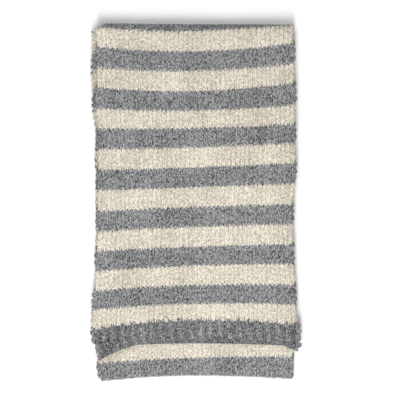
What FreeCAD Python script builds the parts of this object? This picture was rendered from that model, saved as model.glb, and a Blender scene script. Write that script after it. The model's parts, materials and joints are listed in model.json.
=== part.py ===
"""A long striped knitted scarf, folded in half and in half again, so that four plies lie flat.

Frame: X runs across the scarf, Y along it towards the two nested folds, Z up. The origin is the
middle of the underside. From the top down the plies are the top ply, the second ply, the third ply
and the ground ply. The top and ground plies are joined by the outer fold, the second and third
plies by the inner fold inside it, and the third and ground plies by the fold at the other end.
Every stripe is one run of yarn and one solid. The second ply lies between the others, so most of
its stripes are in pairs, one grey and one cream.
"""

import FreeCAD, Part
import os
import Sketcher
from math import pi

doc = FreeCAD.newDocument("folded_scarf")

SIZES = [
    ("scarf_width", 300.0),  # across the plain knitting
    ("rib_width", 306.0),  # across a ribbed end, which spreads a little
    ("rib_length", 36.0),  # a ribbed end, along the scarf
    ("ply_thickness", 5.0),
    ("ply_gap", 0.3),  # clearance between plies
    ("stripe_upper", 28.5),  # a stripe of the top ply, along the scarf
    ("stripe_lower", 29.9),  # a stripe of the third and ground plies, pulled flatter
    ("fold_tail", 3.5),  # flat part of the stripe that turns round the outer fold
    ("stripes_upper", 15),  # stripes in the top ply, and in the second
    ("stripes_lower", 17),  # stripes in the third ply, and in the ground ply
]

sheet = doc.addObject("Spreadsheet::Sheet", "Sizes")
for row, (alias, value) in enumerate(SIZES, start=1):
    sheet.set(f"A{row}", alias.replace("_", " "))
    sheet.set(f"B{row}", str(value))
    sheet.setAlias(f"B{row}", alias)
doc.recompute()

STRIPES_UPPER = round(sheet.stripes_upper)
STRIPES_LOWER = round(sheet.stripes_lower)

# Lengths and places as expressions on the sheet. Radii are to the middle of the ply.
PLY = "(Sizes.ply_thickness + Sizes.ply_gap)"
TIGHT = f"({PLY} / 2)"
LOOSE = f"({PLY} * 1.5)"
QUARTER = f"({TIGHT} * {pi / 2})"
GROUND_FLAT = f"(Sizes.stripes_lower * Sizes.stripe_lower - {QUARTER})"
THIRD_FLAT = f"({GROUND_FLAT} - {QUARTER})"
TOP_LENGTH = "(Sizes.stripes_upper * Sizes.stripe_upper + Sizes.rib_length)"
FOLDED_LENGTH = f"({GROUND_FLAT} + Sizes.fold_tail + {TIGHT} + {LOOSE} + Sizes.ply_thickness)"
END_FOLD_Y = f"({TIGHT} + Sizes.ply_thickness / 2 - {FOLDED_LENGTH} / 2)"
OUTER_FOLD_Y = f"({END_FOLD_Y} + {GROUND_FLAT} + Sizes.fold_tail)"
INNER_FOLD_Y = f"({END_FOLD_Y} + {THIRD_FLAT})"
RIB_END_Y = f"({OUTER_FOLD_Y} - {TOP_LENGTH})"
SECOND_FLAT = f"({INNER_FOLD_Y} - {RIB_END_Y})"
SECOND_STRIPE = f"(({SECOND_FLAT} + {QUARTER} - Sizes.rib_length) / Sizes.stripes_upper)"
END_FOLD_Z = "(Sizes.ply_thickness + Sizes.ply_gap / 2)"
NESTED_FOLD_Z = "(Sizes.ply_thickness * 2 + Sizes.ply_gap * 1.5)"
LEVEL = {
    name: f"(Sizes.ply_thickness / 2 + {count} * {PLY})"
    for count, name in enumerate(("ground", "third", "second", "top"))
}

subparts = []


def ply_section(body, width, offset):
    """Sketch across one ply, with round selvedges, offset up or down from the body's X axis."""
    plane = next(f for f in body.Origin.OriginFeatures if f.Role == "XZ_Plane")
    sketch = body.newObject("Sketcher::SketchObject", "section")
    sketch.AttachmentSupport = [(plane, "")]
    sketch.MapMode = "FlatFace"
    half = getattr(sheet, width) / 2 - sheet.ply_thickness / 2
    radius = sheet.ply_thickness / 2
    middle = body.evalExpression(offset)
    middle = getattr(middle, "Value", middle)
    point = FreeCAD.Vector
    for left, right, level in ((-half, half, middle + radius), (half, -half, middle - radius)):
        line = Part.LineSegment(point(left, level, 0), point(right, level, 0))
        sketch.addGeometry(line, False)
    for side, start in ((half, -pi / 2), (-half, pi / 2)):
        circle = Part.Circle(point(side, middle, 0), point(0, 0, 1), radius)
        sketch.addGeometry(Part.ArcOfCircle(circle, start, start + pi), False)
    # Lines 0 (upper) and 1 (lower), arcs 2 (right selvedge) and 3 (left selvedge).
    for pair in ((0, 2, 2, 2), (2, 1, 1, 1), (1, 2, 3, 2), (3, 1, 0, 1)):
        sketch.addConstraint(Sketcher.Constraint("Tangent", *pair))
    sketch.addConstraint(Sketcher.Constraint("Horizontal", 0))
    radius_at = sketch.addConstraint(Sketcher.Constraint("Radius", 2, radius))
    right_at = sketch.addConstraint(Sketcher.Constraint("DistanceX", -1, 1, 2, 3, half))
    left_at = sketch.addConstraint(Sketcher.Constraint("DistanceX", 3, 3, -1, 1, half))
    sketch.setExpression(f"Constraints[{radius_at}]", "Sizes.ply_thickness / 2")
    for place in (right_at, left_at):
        sketch.setExpression(f"Constraints[{place}]", f"(Sizes.{width} - Sizes.ply_thickness) / 2")
    if offset == "0":
        sketch.addConstraint(Sketcher.Constraint("PointOnObject", 2, 3, -1))
    elif middle > 0:
        place = sketch.addConstraint(Sketcher.Constraint("DistanceY", -1, 1, 2, 3, middle))
        sketch.setExpression(f"Constraints[{place}]", offset)
    else:
        place = sketch.addConstraint(Sketcher.Constraint("DistanceY", 2, 3, -1, 1, -middle))
        sketch.setExpression(f"Constraints[{place}]", f"-({offset})")
    return sketch


def ply_piece(label, y, z, length, width="scarf_width", offset="0", turn=0, towards_folds=False):
    """A length of ply from y, running away from the folds; turn carries it round a fold at y, z."""
    body = doc.addObject("PartDesign::Body", label)
    body.Label = label
    section = ply_section(body, width, offset)
    flat = body.newObject("PartDesign::Pad", "flat")
    flat.Profile = (section, [""])
    flat.Reversed = towards_folds
    flat.setExpression("Length", length)
    if turn:
        curve = body.newObject("PartDesign::Revolution", "curve")
        curve.Profile = (section, [""])
        curve.ReferenceAxis = (section, ["H_Axis"])
        curve.Angle = abs(turn)
        curve.Reversed = turn < 0
    body.setExpression("Placement.Base.y", y)
    body.setExpression("Placement.Base.z", z)
    subparts.append(body)
    return body


def yarn(count):
    """The colour of a stripe, counted from a ribbed end or from the end fold: cream comes first."""
    return "cream" if count % 2 else "grey"


# Top ply: from the outer fold to its ribbed end.
for count in range(STRIPES_UPPER, 0, -1):
    start = f"{RIB_END_Y} + Sizes.rib_length + {count} * Sizes.stripe_upper"
    ply_piece(f"top_stripe_{count:02d}_{yarn(count)}", start, LEVEL["top"], "Sizes.stripe_upper")
rib_start = f"{RIB_END_Y} + Sizes.rib_length"
ply_piece("top_ribbed_end", rib_start, LEVEL["top"], "Sizes.rib_length", "rib_width")

# Outer fold: one grey stripe from the ground ply round to the top ply.
ply_piece("outer_fold_grey", OUTER_FOLD_Y, NESTED_FOLD_Z, "Sizes.fold_tail", offset=f"-{LOOSE}", turn=180)

# Second ply: one cream stripe that turns into the inner fold, then pairs, then its ribbed end.
ply_piece(f"second_stripe_{STRIPES_UPPER:02d}_{yarn(STRIPES_UPPER)}", INNER_FOLD_Y, NESTED_FOLD_Z,
          f"{SECOND_STRIPE} - {QUARTER}", offset=TIGHT, turn=-90)
for count in range(STRIPES_UPPER - 1, 0, -2):
    start = f"{RIB_END_Y} + Sizes.rib_length + {count} * {SECOND_STRIPE}"
    label = f"second_stripes_{count - 1:02d}_{count:02d}"
    ply_piece(label, start, LEVEL["second"], f"2 * {SECOND_STRIPE}")
ply_piece("second_ribbed_end", rib_start, LEVEL["second"], "Sizes.rib_length", "rib_width")

# Third ply: one grey stripe from the inner fold, flat stripes, and one grey stripe into the end fold.
half_turn = f"Sizes.stripe_lower - {QUARTER}"
ply_piece(f"third_stripe_{STRIPES_LOWER:02d}_grey", INNER_FOLD_Y, NESTED_FOLD_Z, half_turn,
          offset=f"-{TIGHT}", turn=90)
for count in range(STRIPES_LOWER - 1, 1, -1):
    start = f"{END_FOLD_Y} + {count} * Sizes.stripe_lower - {QUARTER}"
    label = f"third_stripe_{count:02d}_{yarn(count + 1)}"
    ply_piece(label, start, LEVEL["third"], "Sizes.stripe_lower")
ply_piece("third_stripe_01_grey", END_FOLD_Y, END_FOLD_Z, half_turn, offset=TIGHT, turn=90,
          towards_folds=True)

# Ground ply: one cream stripe out of the end fold, then flat stripes up to the outer fold's own.
ply_piece("ground_stripe_01_cream", END_FOLD_Y, END_FOLD_Z, half_turn, offset=f"-{TIGHT}", turn=-90,
          towards_folds=True)
for count in range(2, STRIPES_LOWER + 1):
    start = f"{END_FOLD_Y} + {count} * Sizes.stripe_lower - {QUARTER}"
    label = f"ground_stripe_{count:02d}_{yarn(count)}"
    ply_piece(label, start, LEVEL["ground"], "Sizes.stripe_lower")

doc.recompute()

for item in doc.Objects:
    if "Invalid" in item.State or "Error" in item.State:
        raise RuntimeError(f"{item.Label} is {item.State}")
for body in subparts:
    if body.Shape.isNull() or not body.Shape.isValid() or len(body.Shape.Solids) != 1:
        raise RuntimeError(f"{body.Label} has no valid single solid")

os.makedirs("parts", exist_ok=True)
for body in subparts:
    body.Shape.exportStep(f"parts/{body.Label}.step")

whole = Part.makeCompound([body.Shape for body in subparts]).BoundBox
print(f"{len(subparts)} solids, {whole.XLength:.1f} x {whole.YLength:.1f} x {whole.ZLength:.1f} mm,",
      f"y {whole.YMin:.2f} to {whole.YMax:.2f}, z {whole.ZMin:.2f} to {whole.ZMax:.2f}")
for name, place in (("inner fold", INNER_FOLD_Y), ("outer fold", OUTER_FOLD_Y), ("end fold", END_FOLD_Y),
                    ("ribbed end", RIB_END_Y), ("nested folds, height", NESTED_FOLD_Z),
                    ("second ply's stripe", SECOND_STRIPE)):
    print(f"{name}: {sheet.evalExpression(place)}")
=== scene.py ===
# %% [markdown]
# # A striped knitted scarf, folded twice
# The scarf is about two metres of thick, brushed knitting in grey and cream, ribbed at both ends. It
# is folded in half and in half again, so four plies lie on each other, and one ribbed end lies over
# the other. The CAD frame holds a plain solid for each stripe. Here each stripe becomes what it is on
# the real scarf: rows of looped yarn, hung through the rows before and after them.

# %% Load the frame
import json
import bpy
import numpy as np
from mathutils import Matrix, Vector


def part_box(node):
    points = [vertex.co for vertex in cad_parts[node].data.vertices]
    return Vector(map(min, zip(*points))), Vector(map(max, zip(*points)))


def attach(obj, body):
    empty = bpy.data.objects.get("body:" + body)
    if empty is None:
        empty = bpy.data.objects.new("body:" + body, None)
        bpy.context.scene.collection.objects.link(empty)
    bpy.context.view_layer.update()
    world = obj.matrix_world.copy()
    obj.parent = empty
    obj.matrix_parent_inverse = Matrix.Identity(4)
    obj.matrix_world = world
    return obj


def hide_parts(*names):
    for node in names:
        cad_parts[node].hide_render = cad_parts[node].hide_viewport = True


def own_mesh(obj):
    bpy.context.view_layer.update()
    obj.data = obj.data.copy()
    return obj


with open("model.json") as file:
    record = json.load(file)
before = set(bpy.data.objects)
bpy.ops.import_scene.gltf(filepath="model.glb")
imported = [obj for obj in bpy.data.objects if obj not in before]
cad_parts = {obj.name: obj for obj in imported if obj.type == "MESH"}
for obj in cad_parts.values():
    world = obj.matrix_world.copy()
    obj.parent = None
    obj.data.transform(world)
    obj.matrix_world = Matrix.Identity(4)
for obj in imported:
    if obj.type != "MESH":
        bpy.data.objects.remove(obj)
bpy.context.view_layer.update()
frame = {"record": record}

bpy.ops.object.select_all(action="DESELECT")

# %% [markdown]
# ## Where the cloth runs
# A folded scarf is one long strip, so it is easiest to think of it flat, and then to fold it. The
# path is its middle line seen from the side: the top ply, round the outer fold, the ground ply, round
# the end fold, the third ply, round the inner fold and back along the second ply. A curve object
# could hold such a path, but a formula also gives its length and its direction at every point. Every
# size comes from the boxes of the CAD solids, so the yarn lands where the solids are.

# %% Read the sizes from the solids
MM = 0.001


def low_high(node):
    """The lowest and the highest corner of a CAD node."""
    return [np.array([float(x) for x in corner]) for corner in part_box(node)]


top_low, top_high = low_high("top_stripe_08_grey")
fold_low, fold_high = low_high("outer_fold_grey")
ground_high = low_high("ground_stripe_08_grey")[1]
third_low = low_high("third_stripe_08_cream")[0]
end_low = low_high("ground_stripe_01_cream")[0]
inner_high = low_high("third_stripe_17_grey")[1]
rib_low, rib_high = low_high("top_ribbed_end")

ply = top_high[2] - top_low[2]
gap = third_low[2] - ground_high[2]
width = top_high[0] - top_low[0]
tight = (ply + gap) / 2
nested_z = fold_high[2] / 2
loose = nested_z - ply / 2
outer_y = fold_high[1] - nested_z
inner_y = inner_high[1] - tight - ply / 2
end_y = end_low[1] + tight + ply / 2
rib_y = rib_low[1]
rib_length = rib_high[1] - rib_low[1]
print(f"ply {ply / MM:.2f} mm, width {width / MM:.0f} mm, folds at {outer_y:.4f} and {end_y:.4f} m")

# %% The path of the strip, as straight runs and half circles
HALF_TURN = np.pi
runs = []  # length, start y, start z, start angle, curvature


def add_run(length, y, z, angle, curvature):
    runs.append((length, y, z, angle, curvature))


top_z, ground_z = nested_z + loose, nested_z - loose
third_z, second_z = nested_z - tight, nested_z + tight
add_run(outer_y - rib_y, rib_y, top_z, 0, 0)
add_run(HALF_TURN * loose, outer_y, top_z, 0, -1 / loose)
add_run(outer_y - end_y, outer_y, ground_z, -HALF_TURN, 0)
add_run(HALF_TURN * tight, end_y, ground_z, -HALF_TURN, -1 / tight)
add_run(inner_y - end_y, end_y, third_z, -2 * HALF_TURN, 0)
add_run(HALF_TURN * tight, inner_y, third_z, -2 * HALF_TURN, 1 / tight)
add_run(inner_y - rib_y, inner_y, second_z, -HALF_TURN, 0)
LENGTHS, START_Y, START_Z, START_ANGLE, BEND = np.array(runs, float).T
STARTS = np.concatenate([[0], np.cumsum(LENGTHS)[:-1]])
scarf_length = LENGTHS.sum()
top_end, outer_fold_end = STARTS[1], STARTS[2]
end_crest, inner_crest = (STARTS[fold] + LENGTHS[fold] / 2 for fold in (3, 5))  # their outermost lines


def path(along):
    """Place, height and direction of the strip's middle line, this far along it."""
    run = np.clip(np.searchsorted(STARTS, along, side="right") - 1, 0, len(runs) - 1)
    past, angle, bend = along - STARTS[run], START_ANGLE[run], BEND[run]
    safe = np.where(bend == 0, 1, bend)
    turned = angle + bend * past
    arc_y = (np.sin(turned) - np.sin(angle)) / safe
    arc_z = (np.cos(angle) - np.cos(turned)) / safe
    y = START_Y[run] + np.where(bend == 0, past * np.cos(angle), arc_y)
    z = START_Z[run] + np.where(bend == 0, past * np.sin(angle), arc_z)
    return y, z, turned


print(f"the scarf is {scarf_length:.3f} m long")

# %% [markdown]
# ## How it lies
# Cloth folded by hand is never square. The stripes of the top ply bow, its left edge is drawn in so
# that the plies under it show, the ribbed end spreads at its corners, and both folds curve a little.
# These are a few sizes, given in millimetres, with smooth curves through them.

# %% The curves of the edges, the stripes and the folds
# In millimetres: the end of the top ply, the outermost lines of the end fold and of the inner fold,
# and the other end of the scarf.
TOP, CREST, INNER, END = np.array([top_end, end_crest, inner_crest, scarf_length]) / MM
# Length along the scarf, then left edge and right edge of the knitting, across.
EDGES = np.array([
    (-6, -140, 149), (3, -144, 152), (16, -149, 152), (40, -151, 149),
    (90, -147, 147), (125, -145, 145), (170, -142, 143), (214, -143, 144),
    (243, -142, 147), (300, -142, 147), (332, -143, 146), (362, -145, 147),
    (410, -143, 145), (TOP - 2, -144, 144), (TOP + 4, -139, 144), (TOP + 8, -134, 144),
    (TOP + 12, -130, 144), (TOP + 17, -132, 143), (TOP + 25, -138, 143), (TOP + 60, -145, 143),
    (CREST - 213, -144, 141), (CREST - 60, -144, 144), (CREST - 12, -142, 144),
    (CREST, -137, 142), (CREST + 12, -142, 144), (CREST + 60, -144, 144),
    (CREST + 213, -144, 141), (INNER - 150, -145, 143), (INNER - 60, -147, 143),
    (INNER - 6, -147, 143), (INNER, -151, 143), (INNER + 60, -152, 144),
    (INNER + 110, -150, 144), (INNER + 150, -145, 143), (INNER + 286, -144, 141),
    (END - 36, -145, 144), (END, -145, 146),
], float)
# Length along the scarf, then how far its left edge, middle and right edge are moved along, and
# how far its corners are dragged back.
STRIPES = np.array([
    (-10, 0, 6, 10, 18), (5, 0, 6, 10, 18), (36, -9, 1, -4, 0), (66, -12, -4, -4, 0),
    (120, -12, -4, -2, 0), (165, -12, -5, -1, 0), (207, -9, -3, 1, 0), (264, -6, -2, 4, 0),
    (321, -2, -1, 5, 0), (350, -1, -4, 4, 0), (378, 2, -4, 8, 0), (408, 2, -3, 8, 0),
    (435, 5, -2, 10, 0), (TOP, 1, 0, 10, 0), (TOP + 14, 2, 0, 8, 0), (TOP + 40, 0, 0, 0, 0),
    (CREST, -7, -7, -7, 0), (CREST + 30, -4, -2, 3, 0), (CREST + 120, -2, 0, 2, 0),
    (INNER - 30, 0, 0, 0, 0), (INNER, -1.5, -1.5, -1.5, 0), (INNER + 30, 0, 0, 0, 0),
    (END, 0, 0, 0, 0),
], float)
# Place from the near end to the far end, then how far the left and the right of a fold lie past it.
FOLDS = np.array([
    (-262, -8, -5), (-225, -7, -4), (-150, -1, -1), (-60, 0, 0), (120, 0, 0), (236, 0, 0),
    (250, 4, 0), (262, 1, -1),
], float)
EDGES, STRIPES, FOLDS = EDGES * MM, STRIPES * MM, FOLDS * MM
WAVE_HEIGHT = 0.45 * MM
# The cloth's small waves: how fast each turns across and along, where it starts, and its share.
WAVES = [(31, 9, 0.6, 1), (-14, 37, 0, 1), (45, 83, 0, 0.7)]
GIVEN_BACK = 0.2  # a curved fold is moved back by this share of what its two corners lie past it


def smooth_between(at, table, column):
    """A curve through a column of a table, level at each of its rows."""
    row = np.clip(np.searchsorted(table[:, 0], at) - 1, 0, len(table) - 2)
    part = np.clip((at - table[row, 0]) / (table[row + 1, 0] - table[row, 0]), 0, 1)
    part = part * part * (3 - 2 * part)
    return table[row, column] * (1 - part) + table[row + 1, column] * part


def lay(across, along, out):
    """Takes places on the flat strip (across, along, out of its face) to places on the pile."""
    share = across / (width / 2)  # -1 at the left edge, 1 at the right
    at_left, middle, at_right, drag = (smooth_between(along, STRIPES, column) for column in range(1, 5))
    bow = (at_right + at_left) / 2 - middle
    along = along + middle + (at_right - at_left) / 2 * share + bow * share**2 - drag * share**4
    left, right = (smooth_between(along, EDGES, column) for column in (1, 2))
    y, z, angle = path(along)
    normal_y, normal_z = -np.sin(angle), np.cos(angle)
    x = (left + right) / 2 + across * (right - left) / width
    y = y + out * normal_y
    z = z + out * normal_z
    wave = sum(size * np.sin(x * a + y * b + begin) for a, b, begin, size in WAVES)
    z = z + WAVE_HEIGHT * wave * z / top_z  # the plies on top wave most
    past_left, past_right = (smooth_between(y, FOLDS, column) for column in (1, 2))
    y = y + np.where(share < 0, past_left, past_right) * share**2 - GIVEN_BACK * (past_left + past_right)
    return np.stack([x, y, z], -1), np.stack([0 * normal_y, normal_y, normal_z], -1)


print("rib corners at", lay(np.array([-width / 2, width / 2]), np.zeros(2), np.zeros(2))[0] / MM)

# %% [markdown]
# ## One stitch
# A stitch is a loop of yarn: it rises on one leg, turns over at its head and comes down on the other
# leg, into the foot that it shares with its neighbour. On the face of plain knitting the legs stand
# forward and the heads and feet lie behind, and the legs make the little V shapes. In the ribbed
# ends every other column is turned round, so it sinks between its neighbours. A whole stripe is one
# yarn, which turns at the selvedge into the next row. Loops like these could be drawn as a curve and
# repeated with an Array modifier, but then every stitch would be the same. A formula gives each its
# own small faults, as a hand does.

# %% Sizes of the stitches
STITCHES = 43
STITCH = width / STITCHES
ROWS_IN_STRIPE, ROWS_IN_RIB = 6, 8
YARN_RADIUS = 1.42 * MM
LOOP_REACH = 1.6 * MM  # how far a head reaches past its own row
LEG_LEAN = 0.2 * STITCH
LEG_RISE, RIB_RISE, RIB_STEP = 1.0 * MM, 0.5 * MM, 1.3 * MM
PINCH = 0.55 * MM  # how far the two legs of a stitch lean together, which parts the columns
WOBBLE = 0.33 * MM  # how much a loop strays sideways
DEPTH_WOBBLE, REACH_WOBBLE = 0.6 * WOBBLE, 0.06  # in and out, and as a share of its reach
SLACK = 0.45 * MM  # how much more the edge stitches vary
TURN_RINGS, TURN_REACH = 3, 0.6 * MM
print(f"a stitch is {STITCH / MM:.2f} mm across, its yarn {2 * YARN_RADIUS / MM:.1f} mm thick")


# %% The middle line of a stripe's yarn
def normals(random, size):
    """Random numbers round 0, with none far out."""
    return random.normal(size=size).clip(-2, 2)


def loop_line(rows, row_height, ribbed, rings, random):
    """The middle line of one yarn that makes all the rows, flat: across, along and out."""
    turns = np.linspace(0, STITCHES, STITCHES * rings + 1)
    stitch = np.clip(np.floor(turns), 0, STITCHES - 1).astype(int)
    part = turns - stitch - 0.5  # -0.5 and 0.5 in the feet, 0 in the head
    pinch = PINCH * np.sin(2 * np.pi * part)
    across = STITCH * (turns - STITCHES / 2) + LEG_LEAN * np.sin(4 * np.pi * part) - pinch
    along = -(row_height / 2 + LOOP_REACH) * np.cos(2 * np.pi * part)
    out = -LEG_RISE * np.cos(4 * np.pi * part)
    if ribbed:
        side = np.where(stitch % 2 == 0, 1, -1)
        foot = np.cos(2 * np.pi * (np.abs(part) - 0.25))
        loop = np.where(np.abs(part) > 0.25, foot, -np.cos(4 * np.pi * part))
        out = side * RIB_RISE * loop + RIB_STEP * np.cos(np.pi * (turns - 0.5))
    knots = np.arange(0, STITCHES + 0.5, 0.5)  # each foot and each head
    first_stitch, last_stitch = turns < 1, turns > STITCHES - 1
    line = []
    for row in range(rows):
        first_slack, last_slack = SLACK * normals(random, 2)
        aside, deep, reach = (np.interp(turns, knots, normals(random, len(knots))) for _ in range(3))
        points = np.stack([
            across + WOBBLE * aside + first_slack * first_stitch + last_slack * last_stitch,
            (row + 0.5) * row_height + along * (1 + REACH_WOBBLE * reach),
            out + DEPTH_WOBBLE * deep,
        ], -1)
        points = points[::-1] if row % 2 else points
        if row:  # the yarn turns at the selvedge, up into the next row
            before, after = line[-1][-1], points[0]
            turn = np.pi * np.arange(1, TURN_RINGS + 1)[:, None] / (TURN_RINGS + 1)
            bulge = np.array([np.sign(before[0]) * TURN_REACH * random.uniform(0, 1.3), 0, 0])
            half = (after - before) / 2
            line.append(before + half * (1 - np.cos(turn)) + bulge * np.sin(turn))
        line.append(points)
    return np.concatenate(line).T


row_height = (top_high[1] - top_low[1]) / ROWS_IN_STRIPE
one_row = loop_line(1, row_height, False, 10, np.random.default_rng(0))
print(f"one row takes {np.linalg.norm(np.diff(one_row), axis=0).sum():.2f} m of yarn")

# %% [markdown]
# ## The skin of the yarn
# The middle line is laid on the pile and given a round skin. A curve with a bevel would do that too,
# but a mesh made here can be lumpy, as spun yarn is, can carry a map of its own for the export, and
# can note for the material how deep each point lies, so that the material paints shade on the yarn
# between the columns, where on real knitting little light reaches.

# %% Rings round the middle line, the faces between them and their map
YARN_SHARE = 0.9  # of the map is for the yarn, and the rest for its fuzz
LANE = 84  # rings of yarn side by side on its map
LANE_GAP = 0.03  # of a lane, on each side of it
CROWN = 2.3 * MM  # height of the legs' skin over the middle of the ply
LUMPS, GRAIN = 0.12, 0.09  # shares of the yarn's radius
LUMP_LENGTH = 0.6  # of a stitch


def unit(vectors):
    return vectors / np.linalg.norm(vectors, axis=-1, keepdims=True)


def tube_faces(rings, sides):
    """Quads round a tube, a face on each end, and a map that unrolls it, cut into lanes."""
    ring, side = np.meshgrid(np.arange(rings - 1), np.arange(sides), indexing="ij")
    after = (side + 1) % sides
    first = ring * sides
    quads = np.stack([first + side, first + sides + side, first + sides + after, first + after], -1)
    lanes = -(-(rings - 1) // LANE)
    u0, u1 = (ring % LANE) / LANE, (ring % LANE + 1) / LANE
    used = 1 - 2 * LANE_GAP
    v0, v1 = ((ring // LANE + LANE_GAP + used * (side + k) / sides) / lanes for k in (0, 1))
    corners = np.stack([u0, v0, u1, v0, u1, v1, u0, v1], -1).reshape(-1, 2)
    caps = [list(range(sides)), [(rings - 1) * sides + k for k in reversed(range(sides))]]
    cap_map = np.repeat(corners[:1], 2 * sides, 0)
    return quads.reshape(-1, 4).tolist() + caps, np.concatenate([corners, cap_map])


def uneven(count, spacing, random):
    """A smooth random number for each of count rings, changing over this many rings."""
    knots = np.arange(0, count + spacing, spacing)
    return np.interp(np.arange(count), knots, normals(random, len(knots)))


def knit(start, length, rows, ribbed, rings, sides, spread, random):
    """A stripe's yarn, laid on the pile: centres, directions to the skin, radii, and how deep it lies, for
    painted shade.
    """
    across, along, out = loop_line(rows, length / rows, ribbed, rings, random)
    centre, normal = lay(across * spread, start + along, out)
    forward = unit(np.gradient(centre, axis=0))
    aside = unit(np.cross(forward, normal))
    upward = np.cross(aside, forward)
    angle = np.arange(sides) * 2 * np.pi / sides
    spokes = np.cos(angle)[:, None] * aside[:, None, :] + np.sin(angle)[:, None] * upward[:, None, :]
    lumps = LUMPS * uneven(len(centre), LUMP_LENGTH * rings, random)[:, None]
    lumps = lumps + GRAIN * normals(random, (len(centre), sides))
    radius = YARN_RADIUS * (1 + lumps)
    height = out[:, None] + radius * (spokes * normal[:, None]).sum(-1)
    return centre, spokes, radius, normal, np.clip(1 - height / (CROWN + RIB_STEP * ribbed), 0, 1)


print("a small tube has", len(tube_faces(4, 6)[0]), "faces")

# %% [markdown]
# ## Fuzz
# Brushed yarn has loose fibres all over, which soften its outline. A hair system would make them,
# but hair isn't a mesh and is lost in the export. So each fibre is a thin three-sided spike, rooted
# at a random place on the yarn and bent a little. More of them stand at the selvedges, where the
# yarn turns.

# %% Fibres and their map
FIBRE_RADIUS = 0.14 * MM
FIBRE_REACH = 1.5, 5  # shortest and longest, in millimetres
FIBRE_ROOT = 0.8  # of the yarn's radius
LIFT, SCATTER = 0.5, 0.7  # how much a fibre turns out of the cloth, and any other way
BEND_AT, CURL = 0.55, 0.35  # where along its reach it bends, and how much
TAPER = 0.75  # its thickness at the bend
FIBRE_POINTS = 7  # three round its foot, three round its bend and its tip
SKEW = (0.31, 0.62, 0.72)  # any direction, to cross a fibre's with
EDGE_FUZZ = 0.15  # share of the fibres that stand at the selvedges
CELL_ROWS = 5  # rows of fibres on the map, the last for what is left over
CELL_USED = 0.9  # of a fibre's cell on the map


def fuzz_on(centre, spokes, radius, normal, rings, number, random):
    """Fibres that stand out of the yarn: the points of each, and the ring it is rooted in."""
    ring = random.integers(0, len(centre), number)
    row = STITCHES * rings + 1 + TURN_RINGS
    edge = row * np.round(ring / row) + random.normal(size=number) * rings
    ring = np.where(random.random(number) < EDGE_FUZZ, edge, ring).clip(0, len(centre) - 1).astype(int)
    side = random.integers(0, spokes.shape[1], number)
    spoke = spokes[ring, side]
    foot = centre[ring] + FIBRE_ROOT * radius[ring, side][:, None] * spoke
    way = unit(spoke + LIFT * normal[ring] + SCATTER * random.normal(size=(number, 3)))
    reach = random.uniform(*FIBRE_REACH, size=(number, 1)) * MM
    middle = foot + way * reach * BEND_AT
    tip = middle + unit(way + CURL * random.normal(size=(number, 3))) * reach * (1 - BEND_AT)
    for places in (foot, middle, tip):  # none goes under the table
        places[:, 2] = np.maximum(places[:, 2], FIBRE_RADIUS)
    way = unit(middle - foot)
    aside = unit(np.cross(way, SKEW))
    upward = np.cross(aside, way)
    turn = np.arange(3)[:, None] * 2 * np.pi / 3
    around = FIBRE_RADIUS * (np.cos(turn) * aside[:, None] + np.sin(turn) * upward[:, None])
    rings_and_tip = [foot[:, None] + around, middle[:, None] + TAPER * around, tip[:, None]]
    return np.concatenate(rings_and_tip, 1), ring


def fuzz_faces(number, first):
    """Faces of that many fibres, and a map with a small cell for each, over the yarn's lanes."""
    shape = [[k, 3 + k, 3 + (k + 1) % 3, (k + 1) % 3] for k in range(3)]
    shape += [[3 + k, 6, 3 + (k + 1) % 3] for k in range(3)] + [[0, 1, 2]]
    cell = [(u, (k + v) / 3) for k in range(3) for u, v in ((0, 0), (0.5, 0), (0.5, 1), (0, 1))]
    cell += [(u, (k + v) / 3) for k in range(3) for u, v in ((0.5, 0), (1, 0.5), (0.5, 1))]
    cell += [(0, 0), (0.1, 0), (0, 0.1)]
    columns = number // (CELL_ROWS - 1)
    row_height = (1 - YARN_SHARE) / CELL_ROWS
    fibre = np.arange(number)
    place = np.stack([fibre % columns / columns, YARN_SHARE + fibre // columns * row_height], -1)
    size = CELL_USED * np.array([1 / columns, row_height])
    starts = first + FIBRE_POINTS * fibre
    faces = [[int(at) + point for point in face] for at in starts for face in shape]
    return faces, (place[:, None] + np.array(cell) * size).reshape(-1, 2)


print("a fibre has", len(fuzz_faces(CELL_ROWS, 0)[0]) // CELL_ROWS, "faces")


# %% Make a mesh object
def paint_depth_shade(mesh, hollow):
    """Notes for the material how much painted shade each point gets, from how deep it lies: 0 on the
    crowns, 1 at the bottom.
    """
    mesh.attributes.new("hollow", "FLOAT", "POINT").data.foreach_set("value", np.ravel(hollow))


def make_piece(name, points, faces, corners):
    """A mesh object at the origin, smooth-shaded, with its place in its mesh and its own map."""
    mesh = bpy.data.meshes.new(name)
    mesh.from_pydata(points.reshape(-1, 3).tolist(), [], faces)
    mesh.uv_layers.new(name="OFBake").uv.foreach_set("vector", corners.astype(np.float32).ravel())
    mesh.polygons.foreach_set("use_smooth", [True] * len(mesh.polygons))
    mesh.update()
    piece = bpy.data.objects.new(name, mesh)
    bpy.context.collection.objects.link(piece)
    return piece


print("ready to knit with", STITCHES, "stitches in a row")

# %% [markdown]
# ## Yarn
# The wool is brushed: fibres of slightly different tones stand out of it, so it is never one colour.
# The grey is spun from dark and light fibres, and reads as fine speckles. The cream has soft,
# darker flecks. Nothing on it shines, but the fuzz catches light at a glancing angle, which is sheen.
# The tones come from noise in space, so that a pattern doesn't stop where one row of yarn ends. A
# painted texture could give them too, but it would need a map without seams.


# %% A small helper for shader maths
class Value:
    """A number that varies over the surface. Sums and products with it add Math nodes."""

    def __init__(self, tree, socket):
        self.tree, self.socket = tree, socket

    def maths(self, operation, first, second):
        return self.tree.node("ShaderNodeMath", {"operation": operation}, {0: first, 1: second})

    def __add__(self, other):
        return self.maths("ADD", self, other)

    def __sub__(self, other):
        return self.maths("SUBTRACT", self, other)

    def __rsub__(self, other):
        return self.maths("SUBTRACT", other, self)

    def __mul__(self, other):
        return self.maths("MULTIPLY", self, other)

    __radd__, __rmul__ = __add__, __mul__


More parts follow.
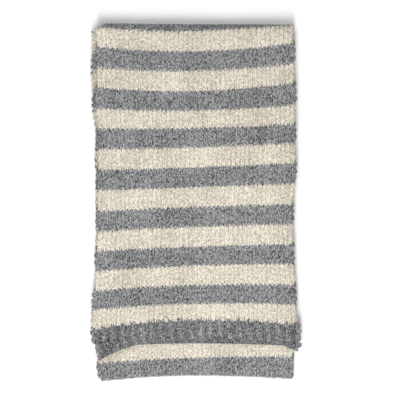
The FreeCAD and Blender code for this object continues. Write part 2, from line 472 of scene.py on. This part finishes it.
class Finish:
    """A material that is built a node at a time."""

    def __init__(self, name):
        self.material = bpy.data.materials.new(name)
        self.material.use_nodes = True
        self.nodes, self.links = self.material.node_tree.nodes, self.material.node_tree.links
        self.shader = self.nodes["Principled BSDF"]

    def node(self, kind, settings=None, inputs=None, output=0):
        made = self.nodes.new(kind)
        for key, value in (settings or {}).items():
            if key == "stops":
                for stop, (place, tone) in zip(made.color_ramp.elements, value):
                    stop.position, stop.color = place, (*tone, 1)
            else:
                setattr(made, key, value)
        for key, value in (inputs or {}).items():
            self.feed(made.inputs[key], value)
        return Value(self, made.outputs[output])

    def feed(self, socket, value):
        if isinstance(value, Value):
            self.links.new(value.socket, socket)
        else:
            socket.default_value = value


print("nodes can be written as sums and products")

# %% The two yarns
CLUMP_SCALE, FIBRE_SCALE, DRIFT_SCALE, FLECK_SCALE = 430, 1000, 22, 560  # how fine each noise is
STRETCH = (1.35, 0.7, 1)  # the clumps are longer along the columns than across them


def brushed_yarn(name, dark, light, fleck, fleck_share, contrast, shade):
    """Fuzzy yarn between two tones, with flecks of a third, and painted shade where it lies deep."""
    yarn = Finish(name)
    place = yarn.node("ShaderNodeTexCoord", output="Object")
    place = yarn.node("ShaderNodeMapping", None, {"Vector": place, "Scale": STRETCH})
    hollow = yarn.node("ShaderNodeAttribute", {"attribute_name": "hollow"}, output="Fac")

    def noise(scale, detail, roughness=0.6):
        return yarn.node("ShaderNodeTexNoise", {"noise_dimensions": "3D"},
                         {"Vector": place, "Scale": scale, "Detail": detail, "Roughness": roughness})

    clumps, fibres, drift = noise(CLUMP_SCALE, 2), noise(FIBRE_SCALE, 3, 0.7), noise(DRIFT_SCALE, 1)
    mixed = (clumps - 0.5) * contrast + (fibres - 0.5) * (contrast * 0.8) + (drift - 0.5) * 0.5 + 0.5
    tone = yarn.node("ShaderNodeValToRGB", {"stops": [(0, dark), (1, light)]}, {0: mixed})
    flecks = yarn.node("ShaderNodeMapRange", None,
                       {"Value": noise(FLECK_SCALE, 1), "From Min": 1 - fleck_share, "From Max": 0.82})
    colour = yarn.node("ShaderNodeMix", {"data_type": "RGBA"},
                       {"Factor": flecks, 6: tone, 7: (*fleck, 1)}, output=2)
    # painted shade: the colour is multiplied towards the shade tone where the yarn lies deep
    deep = yarn.node("ShaderNodeMix", {"data_type": "RGBA", "blend_type": "MULTIPLY"},
                     {"Factor": hollow, 6: colour, 7: (*shade, 1)}, output=2)
    yarn.feed(yarn.shader.inputs["Base Color"], deep)
    yarn.feed(yarn.shader.inputs["Roughness"], fibres * 0.15 + 0.82)
    bump = yarn.node("ShaderNodeBump", None,
                     {"Height": fibres + clumps * 0.5, "Strength": 0.6, "Distance": 0.9 * MM})
    yarn.feed(yarn.shader.inputs["Normal"], bump)
    yarn.shader.inputs["Specular IOR Level"].default_value = 0.15
    yarn.shader.inputs["Sheen Weight"].default_value = 0.25
    yarn.shader.inputs["Sheen Roughness"].default_value = 0.6
    return yarn.material


cream = brushed_yarn("brushed_cream", dark=(0.42, 0.37, 0.295), light=(0.98, 0.94, 0.83),
                     fleck=(0.40, 0.345, 0.255), fleck_share=0.40, contrast=3.2, shade=(0.58, 0.53, 0.48))
grey = brushed_yarn("brushed_grey", dark=(0.012, 0.0125, 0.0135), light=(0.45, 0.457, 0.47),
                    fleck=(0.72, 0.72, 0.72), fleck_share=0.37, contrast=4.2, shade=(0.5, 0.5, 0.5))
print("finishes:", cream.name, grey.name)

# %% [markdown]
# ## The stripes
# Each CAD solid of a stripe is replaced by its own rows of yarn, laid along the path at that
# stripe's place. A flat sheet with a knitted pattern would look right from far away, but up close it
# has no depth and no outline. The stripes that show most get rounder yarn and more fuzz. The rows of
# two neighbouring stripes hook into each other, so the colours meet in a row of small teeth, as they
# do on real knitting.

# %% List the stripes along the scarf
BODY_OF = {node: body for body, nodes in frame["record"]["behaviour"]["bodies"].items() for node in nodes}


def colour_of(node):
    return cream if "cream" in node else grey


stripes = []  # node, start along the scarf, length, colours in order, whether it is ribbed


def add_stripe(node, start, length, colours, ribbed=False):
    stripes.append((node, start, length, colours, ribbed))
    return start + length


STRIPES_UP, STRIPES_DOWN = 15, 17
RIB_TRIM = 4 * MM  # room for the feet and heads of the outermost row
along = add_stripe("top_ribbed_end", RIB_TRIM, rib_length - RIB_TRIM, [grey], ribbed=True)
top_stripe = (top_end - rib_length) / STRIPES_UP
for count in range(1, STRIPES_UP + 1):
    colour = "cream" if count % 2 else "grey"
    along = add_stripe(f"top_stripe_{count:02d}_{colour}", along, top_stripe, [colour_of(colour)])
fold_end = outer_fold_end + outer_y - fold_low[1]
along = add_stripe("outer_fold_grey", along, fold_end - along, [grey])
lower_stripe = (end_crest - along) / STRIPES_DOWN
for count in range(STRIPES_DOWN, 0, -1):
    colour = "cream" if count % 2 else "grey"
    along = add_stripe(f"ground_stripe_{count:02d}_{colour}", along, lower_stripe, [colour_of(colour)])
third_stripe = (inner_crest - along) / STRIPES_DOWN
for count in range(1, STRIPES_DOWN + 1):
    colour = "grey" if count % 2 else "cream"
    along = add_stripe(f"third_stripe_{count:02d}_{colour}", along, third_stripe, [colour_of(colour)])
second_stripe = (scarf_length - rib_length - along) / STRIPES_UP
along = add_stripe(f"second_stripe_{STRIPES_UP:02d}_cream", along, second_stripe, [cream])
for count in range(STRIPES_UP - 1, 0, -2):
    node = f"second_stripes_{count - 1:02d}_{count:02d}"
    along = add_stripe(node, along, 2 * second_stripe, [grey, cream])
along = add_stripe("second_ribbed_end", along, rib_length - 2 * RIB_TRIM, [grey], ribbed=True)
print(len(stripes), "runs of knitting, ending", round(along, 4), "m along")

# %% Knit them
FINE, PLAIN = (10, 6), (8, 4)  # rings in a stitch and sides of the yarn, where it shows and elsewhere
FUZZ_FINE, FUZZ_PLAIN = 1700, 250  # fibres on a stripe, the same way
GREY_SPREAD = 1.008  # the grey yarn is a little thicker, so its stripes are wider
RIB_SPREAD = (rib_high[0] - rib_low[0]) / width
PLAIN_SHADE, RIB_SHADE = 0.42, 0.82  # strength of the painted shade in the hollows: the columns of plain knitting part less than the ribs


def knit_piece(node, start, length, colours, ribbed, random):
    """One stripe, or a pair of them: its yarn and fuzz in one mesh."""
    shows = node.startswith(("top", "outer")) or node in ("third_stripe_01_grey", "third_stripe_02_cream")
    rings, sides = FINE if shows else PLAIN
    rows = ROWS_IN_RIB if ribbed else ROWS_IN_STRIPE * len(colours)
    spread = RIB_SPREAD if ribbed else GREY_SPREAD if colours == [grey] else 1
    centre, spokes, radius, normal, hollow = knit(start, length, rows, ribbed, rings, sides, spread, random)
    number = FUZZ_FINE if shows else FUZZ_PLAIN
    fibres, roots = fuzz_on(centre, spokes, radius, normal, rings, number, random)
    skin = (centre[:, None] + radius[..., None] * spokes).reshape(-1, 3)
    faces, corners = tube_faces(len(centre), sides)
    hairs, hair_corners = fuzz_faces(number, len(skin))
    piece = make_piece(f"{node}_yarn", np.concatenate([skin, fibres.reshape(-1, 3)]), faces + hairs,
                       np.concatenate([corners * [1, YARN_SHARE], hair_corners]))
    # painted shade: deep yarn is darkened, plain knitting less than the ribbed ends; the fibres get none
    deep = np.concatenate([hollow.ravel(), np.zeros(fibres.size // 3)])
    paint_depth_shade(piece.data, deep * (RIB_SHADE if ribbed else PLAIN_SHADE))
    for colour in colours:
        piece.data.materials.append(colour)
    if len(colours) == 2:
        half = len(centre) // 2
        faces_in_fibre = len(hairs) // number
        second = np.concatenate([np.arange(len(faces)) >= half * sides,
                                 np.repeat(roots >= half, faces_in_fibre)])
        piece.data.polygons.foreach_set("material_index", second.astype(int))
    return piece


knitted = {}
for seed, (node, start, length, colours, ribbed) in enumerate(stripes):
    piece = knit_piece(node, start, length, colours, ribbed, np.random.default_rng(seed))
    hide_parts(node)
    knitted[node] = piece
print("faces in all", sum(len(p.data.polygons) for p in knitted.values()))

# %% [markdown]
# ## The cloth inside
# Brushed yarn fills its own gaps with fluff, so no light comes through the knitting. A thin closed
# sheet runs along the middle of the plies for that. A cloth simulation could drape it, but folded
# plies that press on each other are slow to settle, and this scarf lies flat. So a grid is laid
# along the same path as the yarn, and Solidify gives it its thickness. It is split where the plies
# turn over the folds.

# %% Lay the inner sheets
MARGIN = 3 * MM  # from the selvedges
WEB = 0.8 * MM
END_TRIM = 0.5 * MM


def stripe_is_grey(along):
    """Whether the yarn at this place along the scarf is grey."""
    for node, start, length, colours, ribbed in stripes:
        if along <= start + length:
            return colours[min(int((along - start) / length * len(colours)), len(colours) - 1)] is grey
    return True


def inner_sheet(name, start, end, columns=44, step=6 * MM, fewest_rows=12):
    """A closed sheet between two places along the scarf, in the colours of the stripes over it, with
    painted shade.
    """
    rows = max(int((end - start) / step), fewest_rows)
    bpy.ops.mesh.primitive_grid_add(x_subdivisions=columns, y_subdivisions=rows, size=1)
    sheet = bpy.context.object
    sheet.name = sheet.data.name = name
    flat = np.array([v.co for v in sheet.data.vertices])
    across, along = flat[:, 0] * (width - 2 * MARGIN), start + (flat[:, 1] + 0.5) * (end - start)
    places = lay(across, along, np.zeros(len(flat)))[0]
    sheet.data.vertices.foreach_set("co", places.astype(np.float32).ravel())
    # painted shade: in the ribbed ends the sheet shows in the valleys between the columns, so it gets full
    # shade; elsewhere as much as plain knitting
    in_rib = (along < rib_length) | (along > scarf_length - rib_length)
    paint_depth_shade(sheet.data, np.where(in_rib, 1, PLAIN_SHADE))
    for colour in (cream, grey):
        sheet.data.materials.append(colour)
    in_faces = np.array([np.mean([along[v] for v in f.vertices]) for f in sheet.data.polygons])
    sheet.data.polygons.foreach_set("material_index", [int(stripe_is_grey(a)) for a in in_faces])
    thicken = sheet.modifiers.new("thickness", "SOLIDIFY")
    thicken.thickness, thicken.offset = WEB, 0
    bpy.ops.object.modifier_apply(modifier=thicken.name)
    bpy.ops.object.shade_smooth()
    bpy.ops.object.select_all(action="DESELECT")
    return sheet


# Each sheet's start and end along the scarf, and the body it rides on, or None for the outer fold, which
# stays on the lower plies.
SHEETS = {
    "top_cloth": (END_TRIM, top_end, "top_ply"),
    "outer_fold_cloth": (top_end, outer_fold_end, None),
    "lower_cloth": (outer_fold_end, inner_crest, "lower_plies"),
    "second_cloth": (inner_crest, scarf_length - END_TRIM, "second_ply"),
}
sheets = {name: inner_sheet(name, *place[:2]) for name, place in SHEETS.items()}
print("sheets", list(sheets))

# %% [markdown]
# ## Riding and folding
# When the scarf is opened, the top ply and the second ply turn over the two nested folds. Each
# stripe rides on its own ply. The outer fold lies between the two that part. It could bend from one
# to the other, but a bend about one axis always leaves a ridge as high as the axis. So it stays on
# the lower plies, with a mesh of its own. At the inner fold the two last stripes meet edge to edge.

# %% Tie the pieces to the moving plies
def flatten_on_opening(piece):
    """The outer fold stays on the lower plies, with a mesh of its own."""
    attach(piece, "lower_plies")
    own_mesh(piece)


for node, piece in knitted.items():
    if node == "outer_fold_grey":
        flatten_on_opening(piece)
    else:
        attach(piece, BODY_OF[node])
for name, (start, end, body) in SHEETS.items():
    sheet = sheets[name]
    if body is None:
        flatten_on_opening(sheet)
        on_it = [knitted["outer_fold_grey"]]
    else:
        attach(sheet, body)
        on_it = [piece for node, piece in knitted.items() if BODY_OF[node] == body and "outer" not in node]
    end - start
    print(name, f"{width:.3f} x {end - start:.3f} m, under", len(on_it), "pieces of knitting")

# %% [markdown]
# ## Floor, light and camera
# The scarf lies on a plain white table. A wide soft lamp hangs beyond the ribbed ends, so a soft
# shadow falls past the folds, and a weaker one fills in from the other side. Sun lamps would be
# simpler, but their shadows are harder. The camera looks straight down from far away with a long lens.

# %% Floor and world
FLOOR_SIZE, FLOOR_DROP = 12, 0.8 * MM  # the lowest loops of the waving cloth just clear it
bpy.ops.mesh.primitive_plane_add(size=FLOOR_SIZE, location=(0, 0, -FLOOR_DROP))
floor = bpy.context.object
floor.name = "floor"
white = Finish("white_table")
white.shader.inputs["Base Color"].default_value = (0.9, 0.9, 0.9, 1)
white.shader.inputs["Roughness"].default_value = 0.9
floor.data.materials.append(white.material)

scene = bpy.context.scene
scene.view_settings.view_transform = "Standard"
world = bpy.data.worlds.new("studio")
world.use_nodes = True
world.node_tree.nodes["Background"].inputs["Color"].default_value = (1, 1, 1, 1)
world.node_tree.nodes["Background"].inputs["Strength"].default_value = 0.4
scene.world = world
print("floor and", world.name)


# %% Lamps and camera
def soft_lamp(name, place, size, power):
    """An oval lamp, this wide and this deep, that shines on the scarf."""
    bpy.ops.object.light_add(type="AREA", location=place)
    lamp = bpy.context.object
    lamp.name = name
    lamp.data.shape, lamp.data.energy = "ELLIPSE", power
    lamp.data.size, lamp.data.size_y = size
    lamp.rotation_euler = (-Vector(place)).to_track_quat("-Z", "Y").to_euler()
    return lamp


lamps = [
    soft_lamp("key", place=(-0.1, -1.9, 2.3), size=(0.9, 2.4), power=84),
    soft_lamp("fill", place=(-0.6, 1.0, 2.8), size=(2.5, 2.5), power=24),
]
CAMERA_PLACE, VIEW_WIDTH = (0.0075, 0.0015, 3.0), 0.592
bpy.ops.object.camera_add(location=CAMERA_PLACE, rotation=(0, 0, 0))
camera = bpy.context.object
camera.data.lens = CAMERA_PLACE[2] * camera.data.sensor_width / VIEW_WIDTH
scene.camera = camera
print([lamp.name for lamp in lamps], f"and a camera with a {camera.data.lens:.0f} mm lens")
